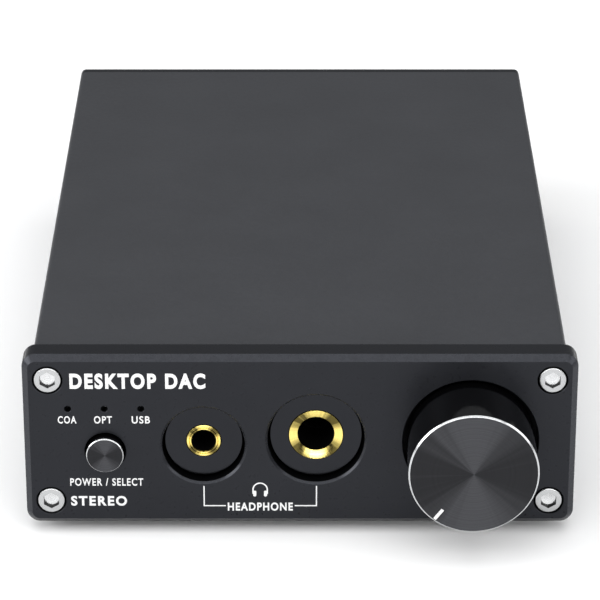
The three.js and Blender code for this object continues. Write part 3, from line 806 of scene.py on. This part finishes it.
def make_knob():
    """A hollow turned knob with a pointer let into its face, on the radius of its grub screw."""
    size = size_mm("volume_knob")
    place = front_centre("volume_knob")
    radius, length = size.x / 2, size.y
    chamfer, hollow, hollow_depth, bore, bore_start = 0.28, 8.5, 2.6, 3.1, 3.3
    outline = [
        (0, 0), (radius - chamfer, 0, 0.02), (radius, chamfer, 0.03), (radius, length, 0.25),
        (hollow, length, 0.2), (hollow, length - hollow_depth, 0.3), (bore, length - hollow_depth),
        (bore, bore_start), (0, bore_start),
    ]
    knob = lathe("knob", outline, place, 192)

    direction = centre("knob_pointer") - centre("volume_knob")
    direction.y = 0
    reach = direction.length / MM
    angle = math.atan2(direction.x, direction.z)
    slot = block("tool", (-0.4, -0.3, reach - 1.3), (0.4, 0.34, reach + 1.3), bevel=0.1)
    slot.location = place
    slot.rotation_euler.y = angle
    grub_hole = [(0, 5), (1.6, 5), (1.6, radius + 2), (0, radius + 2)]
    hole = lathe("tool", grub_hole, place, 48, along="Z")
    hole.location.y = centre("knob_grub_screw").y
    hole.rotation_euler.y = angle
    combine(knob, [slot, hole])
    dress_turned_cap(knob, KNOB_BODY, "volume_knob", radius, chamfer, face_depth=0.02)

    bar = block("pointer", (-0.31, 0, reach - 1.2), (0.31, 0.24, reach + 1.2), bevel=0.06)
    bar.location = place
    bar.rotation_euler.y = angle
    dress(bar, ["ink"], ["knob_pointer"], body=KNOB_BODY)


def make_button():
    """A slightly dished cap on a flange that keeps it behind the front plate."""
    size = size_mm("select_button")
    flange, cap, stem, chamfer = size.x / 2, 3.4, 2, 0.17
    flange_front, flange_back = 5.2, 6.4
    outline = [
        (0, 0.05), (cap - 0.6, 0.03, 0.3), (cap - chamfer, 0, 0.02), (cap, chamfer, 0.03),
        (cap, flange_front), (flange, flange_front, 0.1), (flange, flange_back, 0.1),
        (stem, flange_back), (stem, size.y, 0.2), (0, size.y),
    ]
    button = lathe("button", outline, front_centre("select_button"), 128)
    dress_turned_cap(button, BUTTON_BODY, "select_button", cap, chamfer, face_depth=0.06)


def make_jack(jack):
    """The dark bezel in its pocket and the gold ferrule in its middle."""
    ferrule, bezel = f"{jack}_ferrule", f"{jack}_bezel"
    size = size_mm(bezel)
    radius, inner = size.x / 2, size_mm(ferrule).x / 2 + 0.08
    outline = [(inner, 0, 0.05), (radius, 0, 0.45), (radius, size.y), (inner, size.y)]
    disc = lathe(f"{jack}_disc", outline, front_centre(bezel), 128, steps=6)
    dress(disc, ["bezel"], [bezel])

    size = size_mm(ferrule)
    outer, length = size.x / 2, size.y
    if jack == "jack_635":
        bore, depth = 3.35, 0.6
        mouth = [(bore, depth, 0.05), (outer - 0.06, 0, 0.05)]
    else:
        bore, depth = 2.15, 0.2
        mouth = [
            (bore, depth + 0.1, 0.06), (bore + 0.14, 0, 0.05), (bore + 0.36, 0, 0.05),
            (bore + 0.45, 0.25, 0.03), (bore + 0.54, 0, 0.05), (outer - 0.12, 0, 0.05),
        ]
    neck, neck_start = outer - 0.4, 3.4
    outside = [(outer, 0.1, 0.04), (outer, neck_start - 0.1), (neck, neck_start), (neck, length)]
    gold = lathe(f"{jack}_ring", [*mouth, *outside, (bore, length)], front_centre(ferrule), 128)

    # Painted shade: the ferrule's own gold bore, past its mouth, takes the near-black plastic look.
    def surface(face):
        x, y, z = face.center / MM
        return 1 if y > depth and math.hypot(x, z) < bore + 0.01 else 0

    dress(gold, ["gold_ring", "jack_plastic_and_bore_shade"], [ferrule], surface)


# ---- Rear sockets ----

def make_phono(name, colour):
    """A gold-plated barrel with a groove round it, and a coloured core with the hole for the plug's pin."""
    shell, core = f"{name}_shell", f"{name}_insulator"
    size = size_mm(shell)
    radius, end = size.x / 2, size.y
    bore, groove = radius - 0.95, radius - 0.25
    outline = [
        (bore, 0), (radius, 0), (radius, 4.6, 0.1), (groove, 4.8), (groove, 5.3), (radius, 5.5, 0.1),
        (radius, end - 0.5, 0.15), (radius - 0.5, end, 0.15), (bore, end, 0.15),
    ]
    barrel = lathe(f"{name}_barrel", outline, front_centre(shell))
    dress(barrel, ["gold"], [shell])
    size = size_mm(core)
    radius, end = size.x / 2, size.y
    pin_hole, floor = 1.6, 1.5
    outline = [(0, 0), (radius, 0), (radius, end, 0.3), (pin_hole, end, 0.3), (pin_hole, floor), (0, floor)]
    plug = lathe(f"{name}_core", outline, front_centre(core), 72)
    dress(plug, [colour], [core])


def crossbar(middle, radius, half_length, rounding=0):
    """A round bar along X through a point in mm: the flap's axle, or the cutter for its bearings."""
    corners = [(radius, -half_length), (radius, half_length)]
    if rounding:
        corners = [(*corner, rounding) for corner in corners]
    bar = lathe("tool", [(0, -half_length), *corners, (0, half_length)], middle * MM, 24)
    bar.rotation_euler.z = math.pi / 2
    return bar


def make_optical():
    """A square port with a light window in its floor, and a flap hung on an axle at its top."""
    node = "optical_in_housing"
    low, high = box_mm(node)
    flap_low, flap_high = box_mm("optical_shutter")
    port_floor = high.y - 9.5
    port_low = Vector((flap_low.x + 0.5, port_floor, flap_low.z - 0.2))
    port_high = Vector((flap_high.x - 0.5, high.y + 1, port_low.z + 8.6))
    flap_middle = (flap_low + flap_high) / 2
    pivot = Vector((flap_middle.x, flap_middle.y, flap_high.z - 0.55))
    body = block("optical_body", low, high, bevel=0.25)
    port = block("tool", port_low, port_high, bevel=0)
    window_place = Vector((flap_middle.x, port_floor, (port_low.z + port_high.z) / 2 - 0.4)) * MM
    window = lathe("tool", [(0, -1.5), (1.2, -1.5), (1.2, 2), (0, 2)], window_place, 48)
    combine(body, [port, crossbar(pivot, 0.7, 5.1), window])
    dress(body, ["black_plastic"], [node])

    half_door, side_gap = 0.4, 0.7
    door_low = (flap_low.x + side_gap, pivot.y - half_door, flap_low.z)
    door_high = (flap_high.x - side_gap, pivot.y + half_door, pivot.z)
    door = block("flap", door_low, door_high, 0.12)
    combine(door, [crossbar(pivot, 0.55, 4.9, rounding=0.08)], "UNION")
    dress(door, ["black_plastic"], ["optical_shutter"], body=FLAP_BODY)


def make_usb():
    """A square socket with two cut corners, and a tongue that has two contacts on each side."""
    node = "usb_shell"
    low, high = box_mm(node)
    tongue_low, tongue_high = box_mm("usb_tongue")
    middle = (tongue_low + tongue_high) / 2
    body = block("usb_body", low, high, bevel=0.3)
    w, h, cut, depth = 4.3, 4.0, 1.6, 9
    outline = [(-w, -h), (w, -h), (w, h - cut), (w - cut, h), (cut - w, h), (-w, h - cut)]
    port = prism("tool", outline, -depth, 1, Vector((middle.x, high.y, middle.z)) * MM)
    combine(body, [port])
    dress(body, ["nickel"], [node])
    tongue = block("usb_bar", tongue_low, tongue_high, bevel=0.25)
    dress(tongue, ["white_plastic"], ["usb_tongue"])
    spacing, half_width, proud, root = 1.25, 0.5, 0.12, 0.1
    for i, (side, across) in enumerate([(1, -1), (1, 1), (-1, -1), (-1, 1)]):
        x = middle.x + across * spacing
        z = tongue_high.z if side > 0 else tongue_low.z
        bottom, top = sorted((z - root * side, z + proud * side))
        contact_low = (x - half_width, tongue_low.y + 0.5, bottom)
        contact_high = (x + half_width, tongue_high.y - 0.8, top)
        contact = block(f"usb_contact_{i + 1}", contact_low, contact_high, 0.05)
        dress(contact, ["gold"])


def make_power():
    """A block behind the rear plate, a round nose that fills the plate's hole, and a pin in its bore."""
    node = "dc_jack_housing"
    low, high = box_mm(node)
    pin = centre("dc_jack_pin") / MM
    plate_inside = box_mm("rear_panel")[0].y
    body = block("power_body", low, (high.x, plate_inside - 0.1, high.z), bevel=0.25)
    place = Vector((pin.x, high.y, pin.z)) * MM
    nose, nose_start, bore, bore_depth, mouth = POWER_HOLE - 0.1, -3.2, 3.15, -9.5, 1.3
    nose_outline = [(0, nose_start), (nose, nose_start), (nose, 0, 0.2), (0, 0)]
    combine(body, [lathe("tool", nose_outline, place)], "UNION")
    bore_outline = [(0, bore_depth), (bore, bore_depth), (bore, 1 - mouth), (bore + mouth, 1), (0, 1)]
    combine(body, [lathe("tool", bore_outline, place)])
    dress(body, ["black_plastic"], [node])
    size = size_mm("dc_jack_pin")
    radius = size.x / 2
    outline = [(0, 0), (radius, 0), (radius, size.y, 0.6), (0, size.y)]
    post = lathe("power_pin", outline, front_centre("dc_jack_pin"), 48, steps=8)
    dress(post, ["nickel"], ["dc_jack_pin"])


# ---- Parts on the main board ----

def board_row(chip, side, count, pitch, out):
    """A row of places in mm along a chip's side, so far out from its edge, and the direction away from it."""
    low, high = box_mm(chip)
    middle = (low + high) / 2
    away = Vector(side)
    edge = middle + Vector((away.x * (high.x - low.x) / 2, away.y * (high.y - low.y) / 2, 0))
    along = Vector((away.y, -away.x, 0))
    steps = [(i - (count - 1) / 2) * pitch for i in range(count)]
    return [edge + away * out + along * step for step in steps], away


def size_facing(away, length, width, height):
    """The size of a box whose length lies along the direction that points away from its chip."""
    return (length, width, height) if away.x else (width, length, height)


def make_chip_leads(chip, sides, count, pitch):
    """Tinned gull-wing leads: each leaves the package half way up, drops, and ends in a flat foot."""
    wide, thick = 0.55 * pitch, 0.15
    half_up = BOARD_TOP + 0.8
    foot = BOARD_TOP + 0.02
    shoulder = (0.2, 0.5, half_up - thick, half_up)
    drop = (0.45, thick, BOARD_TOP + 0.05, half_up)
    sole = (0.75, 0.6, foot, foot + thick)
    boxes = []
    for side in sides:
        for out, length, low, high in (shoulder, drop, sole):
            places, away = board_row(chip, side, count, pitch, out)
            size = size_facing(away, length, wide, high - low)
            boxes += [(Vector((place.x, place.y, (low + high) / 2)), size) for place in places]
    leads = cluster(f"{chip}_leads", boxes)
    dress(leads, ["nickel"])


def make_small_parts():
    """Rows of surface-mounted resistors and capacitors round each chip, with tinned ends."""
    pitch, near, far = 2.3, 2.9, 6.3
    up = Vector((0, 0, BOARD_TOP + 0.36))
    bodies, ends = [], []
    for chip, count in (("dac_chip", 4), ("usb_receiver_chip", 4), ("headphone_amp_chip", 5)):
        for side in X_SIDES + Y_SIDES:
            for out in (near, far) if side in X_SIDES else (near,):
                places, away = board_row(chip, side, count, pitch, out)
                for place in places:
                    spot = place.xy.to_3d() + up
                    bodies.append((spot, size_facing(away, 1.3, 1.2, 0.6)))
                    ends += [(spot + away * end, size_facing(away, 0.4, 1.25, 0.66)) for end in (-0.8, 0.8)]
    dress(cluster("small_part_bodies", bodies), ["ceramic"])
    dress(cluster("small_part_ends", ends), ["nickel"])


def make_board_parts():
    """The crystal by the USB chip and the film capacitors of the output stage."""
    stand_off = 0.1
    half_straight, end_reach, half_width, tall = 3.2, 2.31, 2.3, 3.5
    turns = [(math.cos(a), math.sin(a)) for a in (math.tau * (i + 0.5) / 24 for i in range(24))]
    outline = [(end_reach * x + math.copysign(half_straight, x), half_width * y) for x, y in turns]
    spot = centre("usb_receiver_chip") / MM + Vector((0, 14, 0))
    crystal = prism("crystal", outline, 0, tall, Vector((spot.x, spot.y, BOARD_TOP + stand_off)) * MM)
    crystal.rotation_euler.x = math.pi / 2
    dress(crystal, ["nickel"])
    amp = centre("headphone_amp_chip") / MM
    half_size = Vector((1.25, 3.6, 3.25))
    for i in range(4):
        middle = Vector((amp.x - 25 + 4 * i, amp.y, BOARD_TOP + stand_off + half_size.z))
        film = block(f"film_capacitor_{i + 1}", middle - half_size, middle + half_size, bevel=0.3)
        dress(film, ["red_plastic"])


def make_capacitor(number):
    """An electrolytic capacitor: a shrunk sleeve with a rolled groove, and a scored metal top."""
    node = f"capacitor_{number}"
    size = size_mm(node)
    place = bottom_centre(node)
    radius, tall = size.x / 2, size.z
    rim, top = radius - 0.7, tall - 0.25
    outline = [
        (0, 0), (radius - 0.4, 0, 0.2), (radius, 0.9, 0.3), (radius, 1.6, 0.3), (radius - 0.45, 2.1, 0.3),
        (radius, 2.6, 0.3), (radius, tall, 0.5), (rim, tall, 0.15), (rim, top), (0, top),
    ]
    can = lathe(f"can_{number}", outline, place, along="Z")
    scores = []
    for turn in (math.pi / 4, math.pi * 3 / 4):
        score = block("tool", (-0.12, -radius * 0.6, top - 0.15), (0.12, radius * 0.6, tall), bevel=0)
        score.location = place
        score.rotation_euler.z = turn
        scores.append(score)
    combine(can, scores)

    def surface(face):
        x, y, z = face.center / MM
        return 1 if z > top - 0.2 and math.hypot(x, y) < rim + 0.01 else 0

    dress(can, ["can", "nickel"], [node], surface)


# ---- Printed marks ----

def lettering(name, text, middle, baseline, cap_height, width, weight=0.02, tracking=1.2):
    """Printed words on the front plate, fitted to a cap height and a width in mm."""
    curve = bpy.data.curves.new(name, "FONT")
    curve.body = text
    curve.extrude = 0.1
    curve.offset = weight
    curve.space_character = tracking
    curve.resolution_u = 6
    words = add_object(name, curve)
    mesh = evaluated_mesh(words)
    bpy.data.objects.remove(words)
    bm = bmesh.new()
    bm.from_mesh(mesh)
    bmesh.ops.remove_doubles(bm, verts=bm.verts, dist=1e-5)
    left, right = min(v.co.x for v in bm.verts), max(v.co.x for v in bm.verts)
    up = cap_height / max(v.co.y for v in bm.verts)
    along = width / (right - left)
    for vertex in bm.verts:
        x, y, z = vertex.co
        depth = INK_ROOT if z < 0 else -INK_HEIGHT
        vertex.co = Vector((middle + (x - (left + right) / 2) * along, depth, baseline + y * up)) * MM
    piece = new_piece(name, bm, PANEL)
    dress(piece, ["ink"])
    return piece


def printed(name, outline, place=PANEL, proud=INK_HEIGHT):
    """An (x, z) outline in mm printed on the front plate."""
    piece = prism(name, outline, -proud, INK_ROOT, place)
    dress(piece, ["ink"])


def printed_line(name, path, width=0.22):
    """A printed line of even width along a path of (x, z) points in mm."""
    points = [Vector(point) for point in path]
    sides = {1: [], -1: []}
    for i, point in enumerate(points):
        arriving = (point - points[i - 1]).normalized() if i else None
        leaving = (points[i + 1] - point).normalized() if i + 1 < len(points) else None
        normals = [Vector((-d.y, d.x)) for d in (arriving, leaving) if d]
        offset = sum(normals, Vector((0, 0)))
        offset *= width / offset.dot(normals[0]) / 2
        for side in sides:
            sides[side].append(point + offset * side)
    printed(name, sides[1] + sides[-1][::-1])


def headphone_sign(x, z):
    """A plain pictogram: a headband over two ear cups."""
    outer, inner, foot = 1.42, 1.17, -0.9
    angles = [math.pi * i / 24 for i in range(25)]
    band = [(outer * math.cos(a), outer * math.sin(a)) for a in angles]
    band += [(-outer, foot), (-inner, foot)]
    band += [(inner * math.cos(a), inner * math.sin(a)) for a in reversed(angles)]
    band += [(inner, foot), (outer, foot)]
    printed("headphone_band", band, on_panel(x, 0, z))
    for side, name in ((-1, "left"), (1, "right")):
        cup = [(point.x + side * 0.98, point.y - 0.85) for point in rectangle(0.56, 1.2, 0.25, steps=4)]
        printed(f"headphone_cup_{name}", cup, on_panel(x, 0, z), proud=1.2 * INK_HEIGHT)


def make_rear_marks():
    """The plain names of the sockets over them, on the back of the rear plate."""
    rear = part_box("rear_panel")[1].y
    for kind, text, node, width in (
        ("right", "R", "rca_right_shell", 1.2), ("left", "L", "rca_left_shell", 0.9),
        ("coaxial", "COA", "coaxial_in_shell", 3.9), ("optical", "OPT", "optical_in_housing", 3.8),
        ("usb", "USB", "usb_shell", 3.8), ("power", "DC", "dc_jack_pin", 2.6),
    ):
        label = lettering(f"mark_rear_{kind}", text, -centre(node).x / MM, 6.7, 1.6, width)
        label.location.y = rear
        label.rotation_euler.z = math.pi


def make_marks():
    """The words on the front, and the bracket from the headphone word to the two jacks."""
    lettering("mark_title", "DESKTOP DAC", -29.2, 10.72, 2.9, 24.4, weight=0.045, tracking=1.25)
    for kind, text, x, width in (
        ("coaxial", "COA", -42.05, 3.35), ("optical", "OPT", -35.57, 3.25), ("usb", "USB", -28.74, 3.3),
    ):
        lettering(f"mark_{kind}", text, x, 3.62, 1.44, width)
    lettering("mark_button", "POWER / SELECT", -35.2, -9.08, 1.5, 13.3)
    lettering("mark_lower", "STEREO", -36.7, -13.14, 1.9, 10.2, weight=0.035, tracking=1.25)
    lettering("mark_headphone", "HEADPHONE", -7.25, -14.2, 1.6, 11.9, weight=0.03)
    top, bottom = -9.18, -13.25
    printed_line("bracket_left", [(-17.5, top), (-17.5, bottom), (-13.55, bottom)])
    printed_line("bracket_right", [(-0.95, bottom), (3.0, bottom), (3.0, top)])
    headphone_sign(-7.27, -9.9)


# ---- CAD parts that keep their shape ----

KEPT = {
    "board": ["main_board", "indicator_board"],
    "black_plastic": [
        "board_link_header", "volume_pot_body", "switch_body", "rca_out_housing", "coaxial_in_housing",
    ],
    # The jack housings share the near-black look that paints shade into the ferrules' bores.
    "jack_plastic_and_bore_shade": ["jack_635_housing", "jack_35_housing"],
    "nickel": [
        "volume_pot_bushing", "volume_pot_washer", "volume_pot_nut", "volume_shaft", "jack_635_tip_spring",
        "jack_35_tip_spring",
    ],
    "black_steel": ["knob_grub_screw"],
    "white_plastic": ["switch_plunger"],
    "lens": LEDS,
    "chip": ["dac_chip", "usb_receiver_chip", "headphone_amp_chip"],
    "heat_sink": ["voltage_regulator"],
}


def dress_kept_nodes():
    for look, nodes in KEPT.items():
        for node in nodes:
            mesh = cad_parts[node].data
            mesh.materials.clear()
            mesh.materials.append(looks[look])


make_camera()
make_studio()
make_front_plate()
make_sleeve()
make_rear_plate()
for screw_side in SCREWS:
    for screw_number in (1, 2, 3, 4):
        make_screw(screw_side, screw_number)
make_feet()
make_knob()
make_button()
for jack_name in JACK_POCKETS:
    make_jack(jack_name)
for phono_name, phono_colour in PHONO_COLOURS.items():
    make_phono(phono_name, phono_colour)
make_optical()
make_usb()
make_power()
make_chip_leads("dac_chip", Y_SIDES, 14, 0.65)
make_chip_leads("headphone_amp_chip", X_SIDES, 7, 1.27)
make_chip_leads("usb_receiver_chip", X_SIDES + Y_SIDES, 16, 0.5)
make_small_parts()
make_board_parts()
make_capacitor(1)
make_capacitor(2)
make_marks()
make_rear_marks()
dress_kept_nodes()
